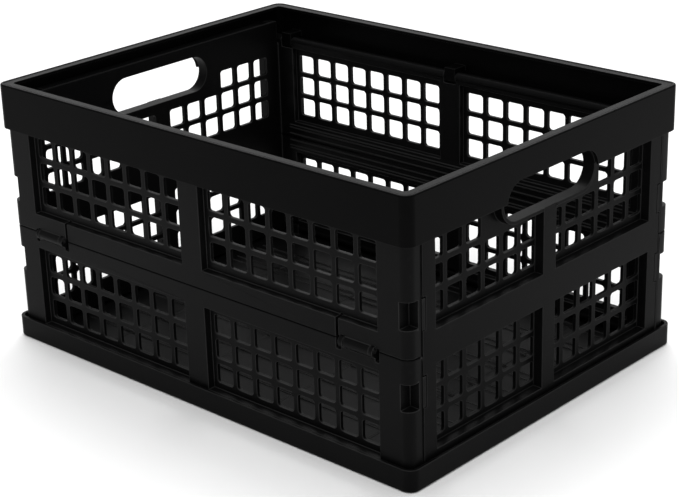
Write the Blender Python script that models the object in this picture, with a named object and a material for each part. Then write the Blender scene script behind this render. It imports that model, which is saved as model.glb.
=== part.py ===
"""Collapsible storage crate.

A base tray, two long walls that fold inwards at mid height, two end panels that
swing up under the rim, and a rim frame with a handle slot at each end.
X runs along the length, Y across the width, Z up. Units are metres.
"""

import bmesh
import bpy
from mathutils import Matrix, Vector

for old in list(bpy.data.objects):
    bpy.data.objects.remove(old, do_unlink=True)

MM = 0.001

# Overall size of the standing crate.
LENGTH = 462.0
WIDTH = 348.0
HEIGHT = 235.0

# Base tray.
TRAY_LENGTH = 461.0
TRAY_WIDTH = 347.0
LIP_TOP = 19.0
LIP_WALL = 2.5
FLOOR = 2.0
RIB_TOP = 2.9
TRAY_CORNER = 9.0

# Rim frame.
SKIRT_BOTTOM = 195.5
SKIRT_WALL = 2.2
FLANGE = 3.0
FLANGE_WIDTH = 10.0
RIM_CORNER = 9.0

# Long walls. The base, middle and rim axes give the inward fold.
WALL_HALF = 227.6
WALL_OUT = 170.6
WALL_IN = 156.4
PIVOT_Y = 160.2
MID_Y = 170.8
BASE_Z = 9.0
MID_Z = 106.2
RIM_Z = 203.4
BAR_R = 4.5
SEAM_GAP = 0.3
WALL_CORNER = 8.0
POST_X = 216.3
POST_IN = 155.4
WINDOW_X = (12.0, 197.0)
LOWER_WINDOW_Z = (18.0, 90.0)
UPPER_WINDOW_Z = (122.8, 197.0)
LATTICE = 3.5
LATTICE_OUT = 164.5
COLUMNS = 8
ROWS = 3
COLUMN_PITCH = 22.6
ROW_PITCH = 21.8
HOLE = (17.4, 16.8)
CORNER_WINDOW_X = 218.5
CORNER_WINDOW_Y = 159.5
LOWER_CORNER_WINDOW_Z = (64.0, 86.0)
UPPER_CORNER_WINDOW_Z = (129.5, 151.5)
TAB_IN = 151.6
TAB_X = 224.6
LOWER_TAB_Z = (63.5, 88.5)
UPPER_TAB_Z = (126.0, 151.0)

# Mid hinge knuckles: rings on the lower panel, a long barrel on the upper one.
KNUCKLE_R = 3.2
KNUCKLE_CLEAR = 3.6
INNER_RING = (160.4, 164.9)
BARREL = (165.2, 190.6)
OUTER_RING = (190.9, 194.8)
MID_PIN = (160.8, 194.4)

# Pins and the lugs that hold them.
PIN_R = 1.6
BORE_R = 1.9
LUG_X = (-205.0, 0.0, 205.0)
LUG_HALF = 6.0
LUG_REACH = 11.5

# End panels, hung from the rim.
END_OUT = 227.6
END_IN = 216.0
END_HALF = 154.6
END_BOTTOM = 5.2
END_TOP = 222.4
END_AXIS = (221.0, 219.0)
END_WINDOW_Y = (8.6, 139.2)
END_LOWER_WINDOW_Z = (24.0, 94.0)
END_UPPER_WINDOW_Z = (122.5, 195.5)
END_COLUMNS = 6
END_COLUMN_PITCH = 22.4
END_LUG_Y = 140.0
END_LUG_HALF = 5.0
SLOT_HALF = 58.5
SLOT_Z = (177.5, 211.0)
SLOT_WALL = 3.0

parts = bpy.data.collections.new("collapsible_storage_crate")
tools = bpy.data.collections.new("cutting_tools")
bpy.context.scene.collection.children.link(parts)
bpy.context.scene.collection.children.link(tools)

FRONT = Matrix.Identity(4)
BACK = Matrix.Rotation(3.141592653589793, 4, "Z")


def material(name, shade, roughness):
    made = bpy.data.materials.new(name)
    made.use_nodes = True
    shader = made.node_tree.nodes["Principled BSDF"]
    shader.inputs["Base Color"].default_value = (shade, shade, shade, 1.0)
    shader.inputs["Roughness"].default_value = roughness
    return made


TRAY_PLASTIC = material("tray_polypropylene", 0.020, 0.45)
WALL_PLASTIC = material("wall_polypropylene", 0.018, 0.42)
END_PLASTIC = material("end_panel_polypropylene", 0.018, 0.42)
RIM_PLASTIC = material("rim_polypropylene", 0.024, 0.38)
PIN_PLASTIC = material("hinge_pin_nylon", 0.012, 0.35)


def box(mesh, x, y, z):
    """A block between the two limits given on each axis."""
    centre = Vector(((x[0] + x[1]) / 2, (y[0] + y[1]) / 2, (z[0] + z[1]) / 2))
    size = (x[1] - x[0], y[1] - y[0], z[1] - z[0])
    place = Matrix.Translation(centre) @ Matrix.Diagonal((*size, 1.0))
    return bmesh.ops.create_cube(mesh, size=1.0, matrix=place)["verts"]


def rounded_box(mesh, x, y, z, radius, wanted=lambda middle: True, steps=4):
    """A block with the wanted upright edges rounded."""
    verts = box(mesh, x, y, z)
    edges = set()
    for vert in verts:
        for edge in vert.link_edges:
            one, two = (v.co for v in edge.verts)
            if abs(one.z - two.z) > 1e-6 and wanted((one + two) / 2):
                edges.add(edge)
    bmesh.ops.bevel(mesh, geom=list(edges), offset=radius, segments=steps,
                    profile=0.5, affect="EDGES")


def rod(mesh, axis, start, end, across, up, radius, sides=12):
    """A round bar along X or Y between start and end."""
    middle = (start + end) / 2
    if axis == "X":
        turn = Matrix.Rotation(1.5707963267948966, 4, "Y")
        place = Matrix.Translation((middle, across, up)) @ turn
    else:
        turn = Matrix.Rotation(1.5707963267948966, 4, "X")
        place = Matrix.Translation((across, middle, up)) @ turn
    bmesh.ops.create_cone(mesh, cap_ends=True, segments=sides, radius1=radius,
                          radius2=radius, depth=end - start, matrix=place)


def body(name, draw, turn=FRONT, pivot=(0, 0, 0), plastic=None):
    """A finished piece drawn in millimetres, or a tool when no plastic is given."""
    mesh = bmesh.new()
    draw(mesh)
    origin = turn @ Vector(pivot)
    bmesh.ops.transform(mesh, matrix=Matrix.Translation(-origin) @ turn, verts=mesh.verts)
    bmesh.ops.scale(mesh, vec=(MM, MM, MM), verts=mesh.verts)
    bmesh.ops.recalc_face_normals(mesh, faces=mesh.faces)
    data = bpy.data.meshes.new(name)
    mesh.to_mesh(data)
    mesh.free()
    made = bpy.data.objects.new(name, data)
    made.location = origin * MM
    if plastic is None:
        tools.objects.link(made)
        made.hide_render = True
        made.display_type = "WIRE"
    else:
        parts.objects.link(made)
        data.materials.append(plastic)
    return made


def combine(piece, operation, label, draw, turn=FRONT):
    """Adds to the piece, or cuts from it, whatever draw makes."""
    tool = body(piece.name + "_" + label, draw, turn)
    step = piece.modifiers.new(label, "BOOLEAN")
    step.operation = operation
    step.solver = "EXACT"
    step.object = tool


def both_ends(draw_one):
    """Runs draw_one for the left end and the right end."""
    def draw(mesh):
        for sign in (-1.0, 1.0):
            draw_one(mesh, sign)
    return draw


def span(sign, near, far):
    """The two limits in rising order, on the chosen side of the middle."""
    return tuple(sorted((sign * near, sign * far)))


# ---------------------------------------------------------------- base tray
def tray_outside(mesh):
    rounded_box(mesh, (-TRAY_LENGTH / 2, TRAY_LENGTH / 2), (-TRAY_WIDTH / 2, TRAY_WIDTH / 2),
                (0.0, LIP_TOP), TRAY_CORNER)


def tray_inside(mesh):
    x = TRAY_LENGTH / 2 - LIP_WALL
    y = TRAY_WIDTH / 2 - LIP_WALL
    rounded_box(mesh, (-x, x), (-y, y), (FLOOR, LIP_TOP + 5), TRAY_CORNER - LIP_WALL)


def tray_ribs(mesh):
    for number in range(-4, 5):
        y = number * 34.0
        box(mesh, (-205.0, 205.0), (y - 0.8, y + 0.8), (FLOOR - 1, RIB_TOP))


def tray_lugs(mesh):
    for sign in (-1.0, 1.0):
        for x in LUG_X:
            box(mesh, (x - LUG_HALF, x + LUG_HALF), span(sign, 156.2, 164.2), (FLOOR - 1, 13.0))


def tray_bores(mesh):
    for sign in (-1.0, 1.0):
        for x in LUG_X:
            rod(mesh, "X", x - LUG_HALF - 1, x + LUG_HALF + 1, sign * PIVOT_Y, BASE_Z, BORE_R)


def tray_pockets(mesh):
    for sign in (-1.0, 1.0):
        box(mesh, span(sign, 223.6, 227.8), (-110.0, -76.0), (-1.0, FLOOR + 1))
        box(mesh, span(sign, 223.6, 227.8), (76.0, 110.0), (-1.0, FLOOR + 1))


tray = body("base_tray", tray_outside, plastic=TRAY_PLASTIC)
combine(tray, "DIFFERENCE", "inside", tray_inside)
combine(tray, "UNION", "ribs", tray_ribs)
combine(tray, "UNION", "lugs", tray_lugs)
combine(tray, "DIFFERENCE", "bores", tray_bores)
combine(tray, "DIFFERENCE", "pockets", tray_pockets)


# ---------------------------------------------------------------- long walls
def windows(z):
    """The recesses on both faces of a wall, either side of its lattice."""
    def draw_one(mesh, sign):
        box(mesh, span(sign, *WINDOW_X), (-WALL_OUT - 2, -LATTICE_OUT), z)
        box(mesh, span(sign, *WINDOW_X), (LATTICE - LATTICE_OUT, -WALL_IN + 2), z)
    return both_ends(draw_one)


def lattice(z):
    middle_x = sum(WINDOW_X) / 2
    middle_z = sum(z) / 2

    def draw_one(mesh, sign):
        for column in range(COLUMNS):
            x = sign * middle_x + (column - (COLUMNS - 1) / 2) * COLUMN_PITCH
            for row in range(ROWS):
                up = middle_z + (row - (ROWS - 1) / 2) * ROW_PITCH
                box(mesh, (x - HOLE[0] / 2, x + HOLE[0] / 2),
                    (-LATTICE_OUT - 1, LATTICE - LATTICE_OUT + 1),
                    (up - HOLE[1] / 2, up + HOLE[1] / 2))
    return both_ends(draw_one)


def long_plate(bottom, top):
    def draw(mesh):
        rounded_box(mesh, (-WALL_HALF, WALL_HALF), (-WALL_OUT, -WALL_IN), (bottom, top),
                    WALL_CORNER, lambda middle: middle.y < -WALL_IN - 1)
    return draw


def posts(bottom, top):
    def draw_one(mesh, sign):
        box(mesh, span(sign, POST_X, WALL_HALF - 0.2), (-WALL_IN - 1, -POST_IN), (bottom, top))
    return both_ends(draw_one)


def tabs(z):
    def draw_one(mesh, sign):
        box(mesh, span(sign, TAB_X, WALL_HALF - 0.3), (-POST_IN - 1, -TAB_IN), z)
    return both_ends(draw_one)


def corner_windows(z):
    def draw_one(mesh, sign):
        box(mesh, span(sign, CORNER_WINDOW_X, WALL_HALF + 2), (-WALL_OUT - 2, -CORNER_WINDOW_Y), z)
    return both_ends(draw_one)


def hinge_bar(z):
    def draw(mesh):
        rod(mesh, "X", -WALL_HALF + 1, WALL_HALF - 1, -PIVOT_Y, z, BAR_R, 16)
    return draw


def lug_notches(z):
    def draw(mesh):
        for x in LUG_X:
            box(mesh, (x - LUG_HALF - 0.6, x + LUG_HALF + 0.6), (-166.4, -154.0), z)
    return draw


def pin_bores(z):
    def draw(mesh):
        for x in LUG_X:
            rod(mesh, "X", x - LUG_REACH - 0.6, x + LUG_REACH + 0.6, -PIVOT_Y, z, BORE_R)
    return draw


def knuckle_rods(spans, radius, grow):
    def draw_one(mesh, sign):
        for near, far in spans:
            start, end = span(sign, near - grow, far + grow)
            rod(mesh, "X", start, end, -MID_Y, MID_Z, radius, 16)
    return both_ends(draw_one)


def build_lower(name, turn):
    rings = (INNER_RING, OUTER_RING)
    top = MID_Z - SEAM_GAP / 2
    piece = body(name, long_plate(7.5, top), turn, (0, -PIVOT_Y, BASE_Z), WALL_PLASTIC)
    combine(piece, "UNION", "bar", hinge_bar(BASE_Z), turn)
    combine(piece, "UNION", "posts", posts(12.0, top - 0.2), turn)
    combine(piece, "UNION", "tabs", tabs(LOWER_TAB_Z), turn)
    combine(piece, "DIFFERENCE", "windows", windows(LOWER_WINDOW_Z), turn)
    combine(piece, "DIFFERENCE", "lattice", lattice(LOWER_WINDOW_Z), turn)
    combine(piece, "DIFFERENCE", "corner_windows", corner_windows(LOWER_CORNER_WINDOW_Z), turn)
    combine(piece, "DIFFERENCE", "barrel_clearance",
            knuckle_rods((BARREL,), KNUCKLE_CLEAR, 0.15), turn)
    combine(piece, "UNION", "rings", knuckle_rods(rings, KNUCKLE_R, 0.0), turn)
    combine(piece, "DIFFERENCE", "mid_bores", knuckle_rods((MID_PIN,), BORE_R, 1.0), turn)
    combine(piece, "DIFFERENCE", "lug_notches", lug_notches((2.0, 15.2)), turn)
    combine(piece, "DIFFERENCE", "pin_bores", pin_bores(BASE_Z), turn)


def build_upper(name, turn):
    rings = (INNER_RING, OUTER_RING)
    bottom = MID_Z + SEAM_GAP / 2
    piece = body(name, long_plate(bottom, RIM_Z + 1.5), turn, (0, -MID_Y, MID_Z), WALL_PLASTIC)
    combine(piece, "UNION", "bar", hinge_bar(RIM_Z), turn)
    combine(piece, "UNION", "posts", posts(bottom + 0.2, 200.0), turn)
    combine(piece, "UNION", "tabs", tabs(UPPER_TAB_Z), turn)
    combine(piece, "DIFFERENCE", "windows", windows(UPPER_WINDOW_Z), turn)
    combine(piece, "DIFFERENCE", "lattice", lattice(UPPER_WINDOW_Z), turn)
    combine(piece, "DIFFERENCE", "corner_windows", corner_windows(UPPER_CORNER_WINDOW_Z), turn)
    combine(piece, "DIFFERENCE", "ring_clearance",
            knuckle_rods(rings, KNUCKLE_CLEAR, 0.15), turn)
    combine(piece, "UNION", "barrel", knuckle_rods((BARREL,), KNUCKLE_R, 0.0), turn)
    combine(piece, "DIFFERENCE", "mid_bores", knuckle_rods((MID_PIN,), BORE_R, 1.0), turn)
    combine(piece, "DIFFERENCE", "lug_notches", lug_notches((197.2, 210.0)), turn)
    combine(piece, "DIFFERENCE", "pin_bores", pin_bores(RIM_Z), turn)


def pin_along_x(name, x, y, z, half, turn):
    body(name, lambda mesh: rod(mesh, "X", x - half, x + half, y, z, PIN_R), turn,
         (x, y, z), PIN_PLASTIC)


for side, turn in (("front", FRONT), ("back", BACK)):
    build_lower(side + "_lower_panel", turn)
    build_upper(side + "_upper_panel", turn)
    ends = ("left", "centre", "right") if side == "front" else ("right", "centre", "left")
    for end, x in zip(ends, LUG_X):
        pin_along_x(side + "_base_pin_" + end, x, -PIVOT_Y, BASE_Z, LUG_REACH, turn)
        pin_along_x(side + "_rim_pin_" + end, x, -PIVOT_Y, RIM_Z, LUG_REACH, turn)
    middle = sum(MID_PIN) / 2
    half = (MID_PIN[1] - MID_PIN[0]) / 2
    pin_along_x(side + "_mid_pin_" + ends[0], -middle, -MID_Y, MID_Z, half, turn)
    pin_along_x(side + "_mid_pin_" + ends[2], middle, -MID_Y, MID_Z, half, turn)


# ---------------------------------------------------------------- rim frame
def slot_shape(mesh, x, grow):
    """A handle slot with round ends, running along X between the limits."""
    radius = (SLOT_Z[1] - SLOT_Z[0]) / 2 + grow
    middle = sum(SLOT_Z) / 2
    verts = box(mesh, x, (-SLOT_HALF - grow, SLOT_HALF + grow), (middle - radius, middle + radius))
    edges = set()
    for vert in verts:
        for edge in vert.link_edges:
            one, two = (v.co for v in edge.verts)
            if abs(one.x - two.x) > 1e-6:
                edges.add(edge)
    bmesh.ops.bevel(mesh, geom=list(edges), offset=radius * 0.98, segments=6,
                    profile=0.5, affect="EDGES")


def rim_outside(mesh):
    rounded_box(mesh, (-LENGTH / 2, LENGTH / 2), (-WIDTH / 2, WIDTH / 2), (SKIRT_BOTTOM, HEIGHT),
                RIM_CORNER)


def rim_inside(mesh):
    x = LENGTH / 2 - SKIRT_WALL
    y = WIDTH / 2 - SKIRT_WALL
    rounded_box(mesh, (-x, x), (-y, y), (SKIRT_BOTTOM - 5, HEIGHT - FLANGE),
                RIM_CORNER - SKIRT_WALL)


def rim_mouth(mesh):
    x = LENGTH / 2 - FLANGE_WIDTH
    y = WIDTH / 2 - FLANGE_WIDTH
    rounded_box(mesh, (-x, x), (-y, y), (HEIGHT - FLANGE - 5, HEIGHT + 5), 3.0)


def rim_slots(mesh):
    for sign in (-1.0, 1.0):
        slot_shape(mesh, span(sign, 225.0, 235.0), 0.0)


def rim_lugs(mesh):
    for sign in (-1.0, 1.0):
        for x in LUG_X:
            box(mesh, (x - LUG_HALF, x + LUG_HALF), span(sign, 156.2, 164.2), (199.4, 212.0))


def rim_lug_arms(mesh):
    for sign in (-1.0, 1.0):
        for x in LUG_X:
            box(mesh, (x - LUG_HALF + 1, x + LUG_HALF - 1), span(sign, 161.0, 172.8), (206.4, 211.6))


def rim_end_lugs(mesh):
    for side in (-1.0, 1.0):
        for sign in (-1.0, 1.0):
            y = sign * END_LUG_Y
            box(mesh, span(side, END_AXIS[0] - 2.8, 230.0),
                (y - END_LUG_HALF, y + END_LUG_HALF), (END_AXIS[1] - 3.4, END_AXIS[1] + 2.9))


def rim_bores(mesh):
    for sign in (-1.0, 1.0):
        for x in LUG_X:
            rod(mesh, "X", x - LUG_HALF - 1, x + LUG_HALF + 1, sign * PIVOT_Y, RIM_Z, BORE_R)
        for y in (-END_LUG_Y, END_LUG_Y):
            rod(mesh, "Y", y - END_LUG_HALF - 1, y + END_LUG_HALF + 1, sign * END_AXIS[0],
                END_AXIS[1], BORE_R)


rim = body("rim_frame", rim_outside, pivot=(0, -PIVOT_Y, RIM_Z), plastic=RIM_PLASTIC)
combine(rim, "DIFFERENCE", "inside", rim_inside)
combine(rim, "DIFFERENCE", "mouth", rim_mouth)
combine(rim, "DIFFERENCE", "slots", rim_slots)
combine(rim, "UNION", "lugs", rim_lugs)
combine(rim, "UNION", "lug_arms", rim_lug_arms)
combine(rim, "UNION", "end_lugs", rim_end_lugs)
combine(rim, "DIFFERENCE", "bores", rim_bores)


# ---------------------------------------------------------------- end panels
def end_plate(mesh):
    box(mesh, (END_IN, END_OUT), (-END_HALF, END_HALF), (END_BOTTOM, END_TOP))
    mesh.edges.ensure_lookup_table()
    top = []
    for edge in mesh.edges:
        one, two = (v.co for v in edge.verts)
        if one.z > END_TOP - 1 and two.z > END_TOP - 1 and abs(one.y - two.y) > 1:
            top.append(edge)
    bmesh.ops.bevel(mesh, geom=top, offset=1.5, segments=2, profile=0.5, affect="EDGES")


def end_windows(z):
    def draw_one(mesh, sign):
        box(mesh, (END_IN + LATTICE, END_OUT + 2), span(sign, *END_WINDOW_Y), z)
    return both_ends(draw_one)


def end_lattice(z, clear_of_slot):
    middle_y = sum(END_WINDOW_Y) / 2
    middle_z = sum(z) / 2

    def draw_one(mesh, sign):
        for column in range(END_COLUMNS):
            out = middle_y + (column - (END_COLUMNS - 1) / 2) * END_COLUMN_PITCH
            y = sign * out
            for row in range(ROWS):
                up = middle_z + (row - (ROWS - 1) / 2) * ROW_PITCH
                if clear_of_slot and row == ROWS - 1 and out < SLOT_HALF + 14:
                    continue
                high = up + HOLE[1] / 2
                if clear_of_slot and row == ROWS - 2 and out < SLOT_HALF + 4:
                    high = min(high, SLOT_Z[0] - SLOT_WALL - 1.2)
                box(mesh, (END_IN - 1, END_IN + LATTICE + 1), (y - 8.3, y + 8.3),
                    (up - HOLE[1] / 2, high))
    return both_ends(draw_one)


def slot_collar(mesh):
    slot_shape(mesh, (END_IN + 0.5, END_OUT - 0.4), SLOT_WALL)


def slot_opening(mesh):
    slot_shape(mesh, (END_IN - 2, END_OUT + 2), 0.0)


def end_tab_notches(mesh):
    for sign in (-1.0, 1.0):
        for z in (LOWER_TAB_Z, UPPER_TAB_Z):
            box(mesh, (TAB_X - 0.6, END_OUT + 2), span(sign, TAB_IN - 0.8, END_HALF + 2),
                (z[0] - 0.6, z[1] + 1.0))


def end_lug_notches(mesh):
    for y in (-END_LUG_Y, END_LUG_Y):
        box(mesh, (END_IN - 2, END_OUT + 2), (y - END_LUG_HALF - 0.6, y + END_LUG_HALF + 0.6),
            (212.6, END_TOP + 2))


def end_pin_bores(mesh):
    for y in (-END_LUG_Y, END_LUG_Y):
        rod(mesh, "Y", y - 10.6, y + 10.6, END_AXIS[0], END_AXIS[1], BORE_R)


for side, turn in (("right", FRONT), ("left", BACK)):
    panel = body(side + "_end_panel", end_plate, turn, (END_AXIS[0], 0, END_AXIS[1]), END_PLASTIC)
    combine(panel, "DIFFERENCE", "lower_windows", end_windows(END_LOWER_WINDOW_Z), turn)
    combine(panel, "DIFFERENCE", "upper_windows", end_windows(END_UPPER_WINDOW_Z), turn)
    combine(panel, "DIFFERENCE", "lower_lattice", end_lattice(END_LOWER_WINDOW_Z, False), turn)
    combine(panel, "DIFFERENCE", "upper_lattice", end_lattice(END_UPPER_WINDOW_Z, True), turn)
    combine(panel, "UNION", "slot_collar", slot_collar, turn)
    combine(panel, "DIFFERENCE", "slot_opening", slot_opening, turn)
    combine(panel, "DIFFERENCE", "tab_notches", end_tab_notches, turn)
    combine(panel, "DIFFERENCE", "lug_notches", end_lug_notches, turn)
    combine(panel, "DIFFERENCE", "pin_bores", end_pin_bores, turn)
    hinge_names = ("front", "back") if side == "right" else ("back", "front")
    for end, y in zip(hinge_names, (-END_LUG_Y, END_LUG_Y)):
        body(side + "_end_pin_" + end,
             lambda mesh, y=y: rod(mesh, "Y", y - 10.0, y + 10.0, END_AXIS[0], END_AXIS[1], PIN_R),
             turn, (END_AXIS[0], y, END_AXIS[1]), PIN_PLASTIC)
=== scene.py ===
import math

import bpy
from mathutils import Matrix, Vector


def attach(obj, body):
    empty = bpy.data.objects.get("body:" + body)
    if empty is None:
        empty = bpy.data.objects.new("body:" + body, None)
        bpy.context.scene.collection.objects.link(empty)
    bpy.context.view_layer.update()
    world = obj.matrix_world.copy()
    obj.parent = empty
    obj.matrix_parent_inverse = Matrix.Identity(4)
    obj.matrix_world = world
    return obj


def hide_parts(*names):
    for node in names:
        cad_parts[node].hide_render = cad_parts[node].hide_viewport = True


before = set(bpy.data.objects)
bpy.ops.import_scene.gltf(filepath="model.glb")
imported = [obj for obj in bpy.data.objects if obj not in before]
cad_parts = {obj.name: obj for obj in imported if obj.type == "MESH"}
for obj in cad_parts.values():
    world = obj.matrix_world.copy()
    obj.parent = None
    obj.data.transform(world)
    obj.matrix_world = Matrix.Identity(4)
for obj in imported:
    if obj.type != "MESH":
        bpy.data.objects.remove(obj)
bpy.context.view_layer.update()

# ------------------------------------------------------------ base tray
# One injection moulding in black polypropylene: a ribbed floor with a low lip all
# round. Six small lugs along its sides hold the pins that the long walls turn on,
# and four slits near the end lips take the wall tabs when the crate is folded.

# Sizes here and below are in millimetres, from the crate's middle and its underside.
TRAY_X, TRAY_Y, TRAY_TOP = 232.2, 175.2, 19
WELL_X, WELL_Y, FLOOR_TOP = 229.4, 172.4, 2.0
LUG_PLACES = (-205, 0, 205)
LUG_HALF = 6
SIDE_AXIS_Y = 160.2
BASE_AXIS_Z = 9.0
BORE_RADIUS = 1.9
BORE_SIDES = 24
EDGE_STEPS = 2
SHARP_ANGLE = math.radians(38)
SMOOTH_ANGLE = math.radians(42)


def block(name, x, y, z):
    """A cube primitive brought to the limits given in millimetres."""
    bpy.ops.object.select_all(action="DESELECT")
    bpy.ops.mesh.primitive_cube_add(size=0.001)
    piece = bpy.context.object
    piece.name = name
    piece.location = [(low + high) / 2000 for low, high in (x, y, z)]
    piece.scale = [high - low for low, high in (x, y, z)]
    bpy.ops.object.transform_apply(location=True, rotation=True, scale=True)
    return piece


def rod(name, axis, span, across, up, radius, sides=32):
    """A cylinder primitive lying along X or Y, in millimetres."""
    bpy.ops.object.select_all(action="DESELECT")
    middle = (span[0] + span[1]) / 2000
    if axis == "X":
        place = (middle, across / 1000, up / 1000)
        turn = (0, math.pi / 2, 0)
    else:
        place = (across / 1000, middle, up / 1000)
        turn = (math.pi / 2, 0, 0)
    bpy.ops.mesh.primitive_cylinder_add(vertices=sides, radius=radius / 1000,
                                        depth=(span[1] - span[0]) / 1000,
                                        location=place, rotation=turn)
    piece = bpy.context.object
    piece.name = name
    bpy.ops.object.transform_apply(location=True, rotation=True, scale=True)
    return piece


def take_hold(piece):
    """Makes the piece the only one selected, and the active one."""
    bpy.ops.object.select_all(action="DESELECT")
    piece.select_set(True)
    bpy.context.view_layer.objects.active = piece


def round_edges(piece, wanted, radius, steps=6):
    """Rounds the edges that wanted picks from their two ends, in millimetres."""
    take_hold(piece)
    bpy.context.tool_settings.mesh_select_mode = (False, True, False)
    bpy.ops.object.mode_set(mode="EDIT")
    bpy.ops.mesh.select_all(action="DESELECT")
    bpy.ops.object.mode_set(mode="OBJECT")
    points = piece.data.vertices
    for edge in piece.data.edges:
        one, two = (points[i].co * 1000 for i in edge.vertices)
        edge.select = bool(wanted(one, two))
    bpy.ops.object.mode_set(mode="EDIT")
    bpy.ops.mesh.bevel(offset=radius / 1000, segments=steps, affect="EDGES")
    bpy.ops.object.mode_set(mode="OBJECT")


def runs_along(axis):
    """Picks the edges that run along one axis: 0 for X, 1 for Y, 2 for Z."""
    return lambda one, two: abs(one[axis] - two[axis]) > 0.999 * (one - two).length


def apply_last(piece):
    """Applies the modifier that was added last."""
    take_hold(piece)
    bpy.ops.object.modifier_apply(modifier=piece.modifiers[-1].name)


def work(piece, tool, operation):
    """Joins the tool to the piece or cuts it away, and puts the tool away."""
    step = piece.modifiers.new("work", "BOOLEAN")
    step.operation = operation
    step.solver = "EXACT"
    step.object = tool
    apply_last(piece)
    bpy.data.objects.remove(tool)


def cut(piece, tool):
    work(piece, tool, "DIFFERENCE")


def join(piece, tool):
    work(piece, tool, "UNION")


def repeat(tool, count, step):
    """Copies the tool in a row, step apart in millimetres."""
    row = tool.modifiers.new("row", "ARRAY")
    row.count = count
    row.use_relative_offset = False
    row.use_constant_offset = True
    row.constant_offset_displace = [part / 1000 for part in step]
    apply_last(tool)


def finish_mould(piece, width=0.5):
    """The small radius that a mould leaves on each edge, and smooth shading.

    The faces of that radius are marked as the edge strip, which the shader paints paler as a
    painted highlight.
    """
    take_hold(piece)
    bpy.ops.object.mode_set(mode="EDIT")
    bpy.ops.mesh.select_all(action="SELECT")
    bpy.ops.mesh.quads_convert_to_tris(quad_method="BEAUTY", ngon_method="BEAUTY")
    bpy.ops.mesh.tris_convert_to_quads(face_threshold=math.radians(1),
                                       shape_threshold=math.radians(60))
    bpy.ops.object.mode_set(mode="OBJECT")
    soft = piece.modifiers.new("edge radius", "BEVEL")
    soft.width = width / 1000
    soft.segments = EDGE_STEPS
    soft.limit_method = "ANGLE"
    soft.angle_limit = SHARP_ANGLE
    soft.use_clamp_overlap = False
    soft.miter_outer = "MITER_ARC"
    soft.material = 1
    piece.data.materials.clear()
    piece.data.materials.append(None)
    piece.data.materials.append(None)
    apply_last(piece)
    # The edge strip marks the faces that get the painted highlight in the shader.
    strip = piece.data.attributes.new("edge_strip", "FLOAT", "FACE")
    for face in piece.data.polygons:
        strip.data[face.index].value = float(face.material_index == 1)
    piece.data.materials.clear()
    bpy.ops.object.shade_smooth_by_angle(angle=SMOOTH_ANGLE)
    even = piece.modifiers.new("even shading", "WEIGHTED_NORMAL")
    even.keep_sharp = True
    apply_last(piece)


def turned(piece, name):
    """The same moulding turned half a turn about the crate's middle."""
    other = piece.copy()
    other.data = piece.data.copy()
    other.name = name
    other.data.transform(Matrix.Rotation(math.pi, 4, "Z"))
    bpy.context.scene.collection.objects.link(other)
    return other


def moulded_black(name, shade, rough, gloss, grain_size, grain_depth):
    """Black polypropylene: spark-eroded grain, slow flow marks, and a painted highlight that makes
    the edge strips paler.
    """
    made = bpy.data.materials.new(name)
    made.use_nodes = True
    nodes = made.node_tree.nodes
    links = made.node_tree.links
    shader = nodes["Principled BSDF"]
    shader.inputs["IOR"].default_value = 1.49
    shader.inputs["Specular IOR Level"].default_value = gloss
    where = nodes.new("ShaderNodeTexCoord")

    flow = nodes.new("ShaderNodeTexNoise")
    flow.inputs["Scale"].default_value = 14
    flow.inputs["Detail"].default_value = 4
    flow.inputs["Distortion"].default_value = 0.6
    links.new(where.outputs["Object"], flow.inputs["Vector"])

    grain = nodes.new("ShaderNodeTexNoise")
    grain.inputs["Scale"].default_value = grain_size
    grain.inputs["Detail"].default_value = 3
    grain.inputs["Roughness"].default_value = 0.6
    links.new(where.outputs["Object"], grain.inputs["Vector"])

    dust = nodes.new("ShaderNodeTexNoise")
    dust.inputs["Scale"].default_value = 160
    dust.inputs["Detail"].default_value = 6
    links.new(where.outputs["Object"], dust.inputs["Vector"])
    specks = nodes.new("ShaderNodeValToRGB")
    specks.color_ramp.elements[0].position = 0.60
    specks.color_ramp.elements[1].position = 0.78
    links.new(dust.outputs["Fac"], specks.inputs["Fac"])

    tone = nodes.new("ShaderNodeValToRGB")
    tone.color_ramp.elements[0].position = 0.30
    tone.color_ramp.elements[0].color = (shade * 0.82, shade * 0.83, shade * 0.86, 1)
    tone.color_ramp.elements[1].position = 0.72
    tone.color_ramp.elements[1].color = (shade * 1.16, shade * 1.16, shade * 1.18, 1)
    links.new(flow.outputs["Fac"], tone.inputs["Fac"])

    # Painted highlight: a paler base colour on the edge strips stands in for the light that the
    # rounded edges catch.
    edge_strip_mask = nodes.new("ShaderNodeAttribute")
    edge_strip_mask.attribute_name = "edge_strip"

    # This mix paints the highlight: edge strip faces get six times the base shade.
    painted_edge_highlight = nodes.new("ShaderNodeMix")
    painted_edge_highlight.data_type = "RGBA"
    painted_edge_highlight.inputs["B"].default_value = (shade * 6, shade * 6, shade * 6, 1)
    links.new(edge_strip_mask.outputs["Fac"], painted_edge_highlight.inputs["Factor"])
    links.new(tone.outputs["Color"], painted_edge_highlight.inputs["A"])

    dusty = nodes.new("ShaderNodeMix")
    dusty.data_type = "RGBA"
    dusty.inputs["B"].default_value = (shade * 1.7, shade * 1.7, shade * 1.65, 1)
    links.new(specks.outputs["Color"], dusty.inputs["Factor"])
    links.new(painted_edge_highlight.outputs["Result"], dusty.inputs["A"])
    links.new(dusty.outputs["Result"], shader.inputs["Base Color"])

    sheen = nodes.new("ShaderNodeMapRange")
    sheen.inputs["To Min"].default_value = rough - 0.05
    sheen.inputs["To Max"].default_value = rough + 0.07
    links.new(flow.outputs["Fac"], sheen.inputs["Value"])
    links.new(sheen.outputs["Result"], shader.inputs["Roughness"])

    bump = nodes.new("ShaderNodeBump")
    bump.inputs["Strength"].default_value = 0.35
    bump.inputs["Distance"].default_value = grain_depth
    links.new(grain.outputs["Fac"], bump.inputs["Height"])
    links.new(bump.outputs["Normal"], shader.inputs["Normal"])
    return made


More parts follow.
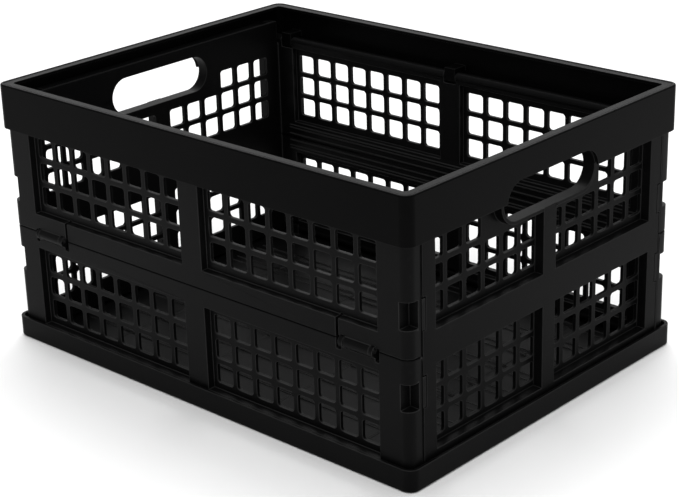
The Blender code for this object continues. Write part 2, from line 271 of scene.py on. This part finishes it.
def finished(piece, material, slot, body, *nodes):
    """Gives a finished piece its material and body, and hides the plain nodes. The slot argument
    is not used.
    """
    piece.data.materials.clear()
    piece.data.materials.append(material)
    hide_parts(*nodes)
    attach(piece, body)


tray_plastic = moulded_black("tray_black_polypropylene", 0.0028, 0.42, 0.040, 1500, 0.00012)

tray = block("crate_base_tray", (-TRAY_X, TRAY_X), (-TRAY_Y, TRAY_Y), (0, TRAY_TOP))
round_edges(tray, runs_along(2), 9, 10)
round_edges(tray, lambda a, b: max(a.z, b.z) < 0.1, 1.6, 3)
well = block("well", (-WELL_X, WELL_X), (-WELL_Y, WELL_Y), (FLOOR_TOP, 30))
round_edges(well, runs_along(2), 6.5, 10)
cut(tray, well)

# Floor ribs, lengthways and shallow, in pairs.
for y in range(-144, 145, 36):
    for offset in (-4.5, 4.5):
        rib = block("rib", (-206, 206), (y + offset - 0.8, y + offset + 0.8), (1.0, 2.85))
        join(tray, rib)
for x in (-150, -50, 50, 150):
    join(tray, block("cross_rib", (x - 0.8, x + 0.8), (-149, 149), (1.1, 2.6)))

# Lugs for the base hinge pins.
for side in (-1, 1):
    for x in LUG_PLACES:
        lug = block("lug", (x - LUG_HALF, x + LUG_HALF), sorted((side * 156.2, side * 164.2)),
                    (1.2, 13.0))
        round_edges(lug, lambda a, b: min(a.z, b.z) > 12 and abs(a.x - b.x) > 5, 3.4, 6)
        join(tray, lug)
        cut(tray, rod("bore", "X", (x - 8, x + 8), side * SIDE_AXIS_Y, BASE_AXIS_Z,
                      BORE_RADIUS, BORE_SIDES))

# Slits for the folded wall tabs.
for end in (-1, 1):
    for y in (-93, 93):
        cut(tray, block("slit", sorted((end * 223.6, end * 227.7)), (y - 17, y + 17), (-2, 3)))

finish_mould(tray, 0.55)
finished(tray, tray_plastic, "tray_plastic", "tray", "base_tray")

# ------------------------------------------------------------ long walls
# Each long wall is two polypropylene mouldings, one above the other: a raised frame
# with a middle post, rounded corner posts, and two deep windows of square lattice.
# They meet at a seam at mid height and fold inwards there.

wall_plastic = moulded_black("wall_black_polypropylene", 0.0034, 0.38, 0.045, 1500, 0.00010)
FACE_Y, BACK_Y = -170.6, -156.4
WALL_X = 227.6
BAR_RADIUS = 4.5
HOLE_STEP = (22.6, 21.8)
HOLE_SIZE = (17.9, 17.2)
HOLE_ROUNDING = 2.7
DRAFT = 0.7
RIM_AXIS_Z = 203.4
MID_AXIS = (-170.8, 106.2)
KNUCKLE_AXIS = (-169.5, 104.6)
KNUCKLE_SIDES = 40
MID_BORE = (159, 196)
POCKETS = ((155.6, 160.5), (194.7, 198.4))
LOWER_TAB = (63.5, 88.5)
UPPER_TAB = (126, 151)


def hole_field(name, first, step, counts, along, depth, size):
    """A cutter for rows of rounded square holes, through along X (0) or Y (1)."""
    u, z = first
    wide, high = size
    if along == 1:
        tool = block(name, (u - wide / 2, u + wide / 2), depth, (z - high / 2, z + high / 2))
    else:
        tool = block(name, depth, (u - wide / 2, u + wide / 2), (z - high / 2, z + high / 2))
    round_edges(tool, runs_along(along), HOLE_ROUNDING, 4)
    sideways = (step[0], 0, 0) if along == 1 else (0, step[0], 0)
    repeat(tool, counts[0], sideways)
    repeat(tool, counts[1], (0, 0, step[1]))
    return tool


def window_recess(name, across, z, mouth, back, along):
    """A recess from a face to its lattice, a little wider at the mouth."""
    deep = sorted((mouth, back))
    tool = block(name, across, deep, z) if along == 1 else block(name, deep, across, z)
    for point in tool.data.vertices:
        if abs(point.co[along] * 1000 - mouth) < 0.01:
            for axis, span in ((1 - along, across), (2, z)):
                outwards = point.co[axis] * 1000 - sum(span) / 2
                point.co[axis] += math.copysign(DRAFT, outwards) / 1000
    return tool


def wall_blank(name, z, window, axis_z, corner_window, tab):
    """The frame, windows, corner posts and hinge bar of one wall moulding."""
    wall = block(name, (-WALL_X, WALL_X), (FACE_Y, BACK_Y), z)
    round_edges(wall, lambda a, b: abs(a.z - b.z) > 20 and a.y < -165, 8, 8)
    is_lower = axis_z == BASE_AXIS_Z
    if is_lower:
        round_edges(wall, lambda a, b: min(a.z, b.z) > z[1] - 0.05 and min(a.y, b.y) < -157,
                    1.0, 3)
    join(wall, rod("hinge_bar", "X", (-226.4, 226.4), -SIDE_AXIS_Y, axis_z, BAR_RADIUS, 40))
    post_z = (12.0, z[1] - 0.2) if is_lower else (z[0] + 0.2, 200)
    for end in (-1, 1):
        join(wall, block("post", sorted((end * 216.3, end * WALL_X)), (-158, -155.4), post_z))
        join(wall, block("tab", sorted((end * 224.6, end * WALL_X)), (-156.6, -151.6), tab))
        x = sorted((end * 12, end * 197))
        middle_x, middle_z = sum(x) / 2, sum(window) / 2
        cut(wall, window_recess("outer_window", x, window, -173, -164.4, 1))
        cut(wall, window_recess("inner_window", x, window, -154, -161.2, 1))
        first = (middle_x - 3.5 * HOLE_STEP[0], middle_z - HOLE_STEP[1])
        cut(wall, hole_field("holes", first, HOLE_STEP, (8, 3), 1, (-166, -160), HOLE_SIZE))
        cut(wall, block("corner_window", sorted((end * 218.5, end * 231)), (-174, -159.5),
                        corner_window))
    return wall


def lug_notches(wall, axis_z, z):
    """Room for the lugs that hold the hinge pins, and the bores for the pins."""
    for x in LUG_PLACES:
        cut(wall, block("notch", (x - 6.6, x + 6.6), (-166.4, -154), z))
        cut(wall, rod("bore", "X", (x - 12.1, x + 12.1), -SIDE_AXIS_Y, axis_z,
                      BORE_RADIUS, BORE_SIDES))


def knuckle(name, end, x, radius):
    """A round on the axis of the mid hinge's barrels, which stand proud of the face."""
    return rod(name, "X", sorted((end * x[0], end * x[1])), *KNUCKLE_AXIS, radius,
               KNUCKLE_SIDES)


def mid_bore(end):
    """The bore of a mid hinge pin."""
    return rod("bore", "X", sorted((end * MID_BORE[0], end * MID_BORE[1])), *MID_AXIS,
               BORE_RADIUS, BORE_SIDES)


lower_wall = wall_blank("front_lower_wall", (7.5, 105.9), (18, 90), BASE_AXIS_Z, (64, 86),
                        LOWER_TAB)
for z in (94.2, 97.0, 102.6):
    join(lower_wall, block("inner_rib", (-205, 205), (-157, -155.7), (z - 0.5, z + 0.5)))
for end in (-1, 1):
    cut(lower_wall, knuckle("clear", end, (165.1, 190.7), 5.1))
    join(lower_wall, knuckle("round", end, (160.4, 164.9), 4.8))
    join(lower_wall, knuckle("round", end, (190.9, 194.8), 4.8))
    for x in POCKETS:
        cut(lower_wall, block("pocket", sorted((end * x[0], end * x[1])), (-173, -165), (97, 107)))
    cut(lower_wall, mid_bore(end))
lug_notches(lower_wall, BASE_AXIS_Z, (2, 15.2))
finish_mould(lower_wall)

upper_wall = wall_blank("front_upper_wall", (106.5, 204.9), (122.8, 197), RIM_AXIS_Z,
                        (129.5, 151.5), UPPER_TAB)
for z in (109.4, 115.6, 118.4):
    join(upper_wall, block("inner_rib", (-205, 205), (-157, -155.7), (z - 0.5, z + 0.5)))
for end in (-1, 1):
    cut(upper_wall, knuckle("clear", end, (160.1, 165.1), 5.1))
    cut(upper_wall, knuckle("clear", end, (190.7, 195.1), 5.1))
    join(upper_wall, knuckle("round", end, (165.3, 190.5), 4.6))
    for x in POCKETS:
        cut(upper_wall, block("pocket", sorted((end * x[0], end * x[1])), (-173, -165),
                              (106, 108.4)))
    cut(upper_wall, block("slit", sorted((end * 155.6, end * 158.2)), (-173, -163), (105, 124)))
    cut(upper_wall, mid_bore(end))
lug_notches(upper_wall, RIM_AXIS_Z, (197.2, 210))
finish_mould(upper_wall)

back_lower = turned(lower_wall, "back_lower_wall")
back_upper = turned(upper_wall, "back_upper_wall")
finished(lower_wall, wall_plastic, "wall_plastic", "front_lower_wall", "front_lower_panel")
finished(upper_wall, wall_plastic, "wall_plastic", "front_upper_wall", "front_upper_panel")
finished(back_lower, wall_plastic, "wall_plastic", "back_lower_wall", "back_lower_panel")
finished(back_upper, wall_plastic, "wall_plastic", "back_upper_wall", "back_upper_panel")

# ------------------------------------------------------------ end panels
# Each end is one polypropylene moulding hung from the rim: a frame with a middle
# post and a broad cross band, four lattice windows, and a handle slot with a deep
# collar that keeps the fingers off the thin edges.

end_plastic = moulded_black("end_black_polypropylene", 0.0030, 0.38, 0.032, 1500, 0.00010)
SLOT_MIDDLE = 194.25
SLOT_RADIUS = 16.75
SLOT_HALF = 58.5
END_FACE_X, END_BACK_X = 227.6, 216
END_HALF_Y = 154.6
END_STEP = (22.4, 21.8)
END_HOLE = (17.6, 17.2)
END_WEB = (214, 221)
END_AXIS_X, END_AXIS_Z = 221, 219
END_LUG_Y = 140


def slot_prism(name, x, grow):
    """A handle slot with round ends, running through along X."""
    radius = SLOT_RADIUS + grow
    tool = block(name, x, (-SLOT_HALF - grow, SLOT_HALF + grow),
                 (SLOT_MIDDLE - radius, SLOT_MIDDLE + radius))
    round_edges(tool, runs_along(0), radius - 0.02, 14)
    return tool


end_panel = block("right_end_wall", (END_BACK_X, END_FACE_X), (-END_HALF_Y, END_HALF_Y),
                  (5.2, 222.4))
round_edges(end_panel, lambda a, b: min(a.z, b.z) > 220 and abs(a.y - b.y) > 5, 1.5, 4)
for side in (-1, 1):
    for z in ((24, 94), (122.5, 195.5)):
        y = sorted((side * 8.6, side * 139.2))
        cut(end_panel, window_recess("window", y, z, 232, 219.4, 0))
    # The rows run full width but for the top one, which stops short of the slot.
    edge_y = side * 73.9 - 56
    short_y = side * 107.6 - END_STEP[0]
    for first_y, first_z, counts in ((edge_y, 59 - END_STEP[1], (6, 3)),
                                     (edge_y, 159 - END_STEP[1], (6, 2)),
                                     (short_y, 159 + END_STEP[1], (3, 1))):
        cut(end_panel, hole_field("holes", (first_y, first_z), END_STEP, counts, 0, END_WEB,
                                  END_HOLE))
join(end_panel, slot_prism("collar", (216.3, 227.3), 3.0))
cut(end_panel, slot_prism("slot", (210, 232), 0))
for side in (-1, 1):
    for low, high in (LOWER_TAB, UPPER_TAB):
        cut(end_panel, block("tab_notch", (224.0, 232), sorted((side * 150.8, side * 158)),
                             (low - 0.6, high + 1.0)))
    y = side * END_LUG_Y
    cut(end_panel, block("lug_notch", (217.6, 232), (y - 5.6, y + 5.6), (212.6, 230)))
    cut(end_panel, rod("bore", "Y", (y - 10.6, y + 10.6), END_AXIS_X, END_AXIS_Z,
                       BORE_RADIUS, BORE_SIDES))
finish_mould(end_panel)
left_end = turned(end_panel, "left_end_wall")
finished(end_panel, end_plastic, "end_panel_plastic", "right_end", "right_end_panel")
finished(left_end, end_plastic, "end_panel_plastic", "left_end", "left_end_panel")

# ------------------------------------------------------------ rim frame
# One polypropylene moulding: a flat top flange with a deep skirt that stands proud
# of the walls, arched over the handle slot at each end. Lugs under the flange hold
# the pins of the long walls and the end panels.

rim_plastic = moulded_black("rim_black_polypropylene", 0.0018, 0.34, 0.024, 1100, 0.00014)
RIM_X, RIM_Y = 231, 174
SKIRT_FOOT, RIM_TOP = 195.5, 235

rim = block("rim_band", (-RIM_X, RIM_X), (-RIM_Y, RIM_Y), (SKIRT_FOOT, RIM_TOP))
round_edges(rim, runs_along(2), 9, 12)
round_edges(rim, lambda a, b: min(a.z, b.z) > 234.9, 1.3, 4)
inside = block("inside", (-228.8, 228.8), (-171.8, 171.8), (190, 232))
round_edges(inside, runs_along(2), 6.8, 12)
cut(rim, inside)
mouth = block("mouth", (-221, 221), (-164, 164), (225, 240))
round_edges(mouth, runs_along(2), 3, 6)
cut(rim, mouth)
step = block("step", (-228.2, 228.2), (-171.2, 171.2), (234.6, 240))
round_edges(step, runs_along(2), 6.2, 12)
cut(rim, step)
for end in (-1, 1):
    cut(rim, slot_prism("arch", sorted((end * 225, end * 236)), 0))
for side in (-1, 1):
    for x in LUG_PLACES:
        width = (x - LUG_HALF, x + LUG_HALF)
        join(rim, block("lug", width, sorted((side * 156.4, side * 164.2)), (199.4, 211.6)))
        join(rim, block("arm", width, sorted((side * 161, side * 172.6)), (206.4, 211.6)))
        cut(rim, rod("bore", "X", (x - 8, x + 8), side * SIDE_AXIS_Y, RIM_AXIS_Z,
                     BORE_RADIUS, BORE_SIDES))
for end in (-1, 1):
    for y in (-END_LUG_Y, END_LUG_Y):
        join(rim, block("end_lug", sorted((end * 218.3, end * 229.6)), (y - 5, y + 5),
                        (215.6, 221.9)))
        cut(rim, rod("bore", "Y", (y - 7, y + 7), end * END_AXIS_X, END_AXIS_Z,
                     BORE_RADIUS, BORE_SIDES))
finish_mould(rim, 0.4)
finished(rim, rim_plastic, "rim_plastic", "rim", "rim_frame")

# ------------------------------------------------------------ hinge pins
# Smooth moulded nylon pins, twenty in all. Those at the mid hinges show at the ends
# of their knuckles; the others sit inside the lugs and bars.

pin_nylon = moulded_black("pin_black_nylon", 0.0045, 0.28, 0.12, 2600, 0.00004)
MID_PIN = (160.8, 194.4)
PIN_RADIUS = 1.6

for name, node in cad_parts.items():
    if "_mid_pin_" in name:
        end = 1 if name.endswith("right") else -1
        y = MID_AXIS[0] if name.startswith("front") else -MID_AXIS[0]
        pin = rod(name + "_turned", "X", sorted((end * MID_PIN[0], end * MID_PIN[1])), y,
                  MID_AXIS[1], PIN_RADIUS)
        for x in MID_PIN:
            cut(pin, rod("socket", "X", sorted((end * (x - 0.8), end * (x + 0.8))), y,
                         MID_AXIS[1], 0.8, BORE_SIDES))
        finish_mould(pin, 0.25)
        body = "front_lower_wall" if name.startswith("front") else "back_lower_wall"
        finished(pin, pin_nylon, "hinge_pin_plastic", body, name)
    elif "_pin_" in name:
        node.data.materials.clear()
        node.data.materials.append(pin_nylon)

# ------------------------------------------------------------ studio
# A pale floor that runs out of sight, an even white sky, a broad soft glow from the
# ceiling, a wide softbox behind on the left, and a small lamp over the front right.

floor_paint = bpy.data.materials.new("pale_floor")
floor_paint.use_nodes = True
paint_nodes = floor_paint.node_tree.nodes
paint = paint_nodes["Principled BSDF"]
paint.inputs["Roughness"].default_value = 0.9
paint.inputs["Specular IOR Level"].default_value = 0.1
mottle = paint_nodes.new("ShaderNodeTexNoise")
mottle.inputs["Scale"].default_value = 3
pale = paint_nodes.new("ShaderNodeValToRGB")
pale.color_ramp.elements[0].color = (0.90, 0.90, 0.90, 1)
pale.color_ramp.elements[1].color = (0.93, 0.93, 0.93, 1)
floor_paint.node_tree.links.new(mottle.outputs["Fac"], pale.inputs["Fac"])
floor_paint.node_tree.links.new(pale.outputs["Color"], paint.inputs["Base Color"])
bpy.ops.object.select_all(action="DESELECT")
bpy.ops.mesh.primitive_plane_add(size=30, location=(0, 0, -0.0003))
floor = bpy.context.object
floor.name = "studio_floor"
floor.data.materials.append(floor_paint)

sky = bpy.data.worlds.new("studio_sky")
sky.use_nodes = True
sky.node_tree.nodes["Background"].inputs["Color"].default_value = (1, 1, 1, 1)
sky.node_tree.nodes["Background"].inputs["Strength"].default_value = 0.55
bpy.context.scene.world = sky


def soft_light(name, place, shape, size, power):
    """A studio lamp aimed at the lower half of the crate."""
    light = bpy.data.lights.new(name, "AREA")
    light.shape = shape
    light.size, light.size_y = size
    light.energy = power
    lamp = bpy.data.objects.new(name, light)
    lamp.location = place
    lamp.rotation_euler = (Vector((0, 0, 0.1)) - Vector(place)).to_track_quat("-Z", "Y").to_euler()
    bpy.context.scene.collection.objects.link(lamp)


soft_light("overhead", (0.55, -0.62, 2.1), "DISK", (0.9, 0.9), 14)
soft_light("rear_softbox", (-1.95, 2.1, 1.25), "RECTANGLE", (2.6, 1.2), 15)

sun = bpy.data.lights.new("ceiling_glow", "SUN")
sun.energy = 2.1
sun.angle = math.radians(50)
ceiling = bpy.data.objects.new("ceiling_glow", sun)
ceiling.rotation_euler = (math.radians(-22), math.radians(-18), 0)
bpy.context.scene.collection.objects.link(ceiling)

# The camera looks down on the front right corner with a long lens, tilted a little.
AZIMUTH = math.radians(42.98)
ELEVATION = math.radians(21.78)
TILT = math.radians(-1.75)
DISTANCE = 1.57627
AIM_HEIGHT = 0.08507
AIM_RIGHT = 0.00235
LENS = 95.9
back = Vector((math.sin(AZIMUTH) * math.cos(ELEVATION), -math.cos(AZIMUTH) * math.cos(ELEVATION),
               math.sin(ELEVATION)))
level_right = (-back).cross(Vector((0, 0, 1))).normalized()
level_up = level_right.cross(-back)
right = level_right * math.cos(TILT) + level_up * math.sin(TILT)
up = level_up * math.cos(TILT) - level_right * math.sin(TILT)
lens = bpy.data.cameras.new("studio_camera")
lens.lens = LENS
lens.sensor_width = 36
camera = bpy.data.objects.new("studio_camera", lens)
place = back * DISTANCE + right * AIM_RIGHT + Vector((0, 0, AIM_HEIGHT))
stand = Matrix((right, up, back)).transposed().to_4x4()
camera.matrix_world = Matrix.Translation(place) @ stand
bpy.context.scene.collection.objects.link(camera)
bpy.context.scene.camera = camera
bpy.context.scene.view_settings.view_transform = "Standard"

bpy.context.view_layer.update()
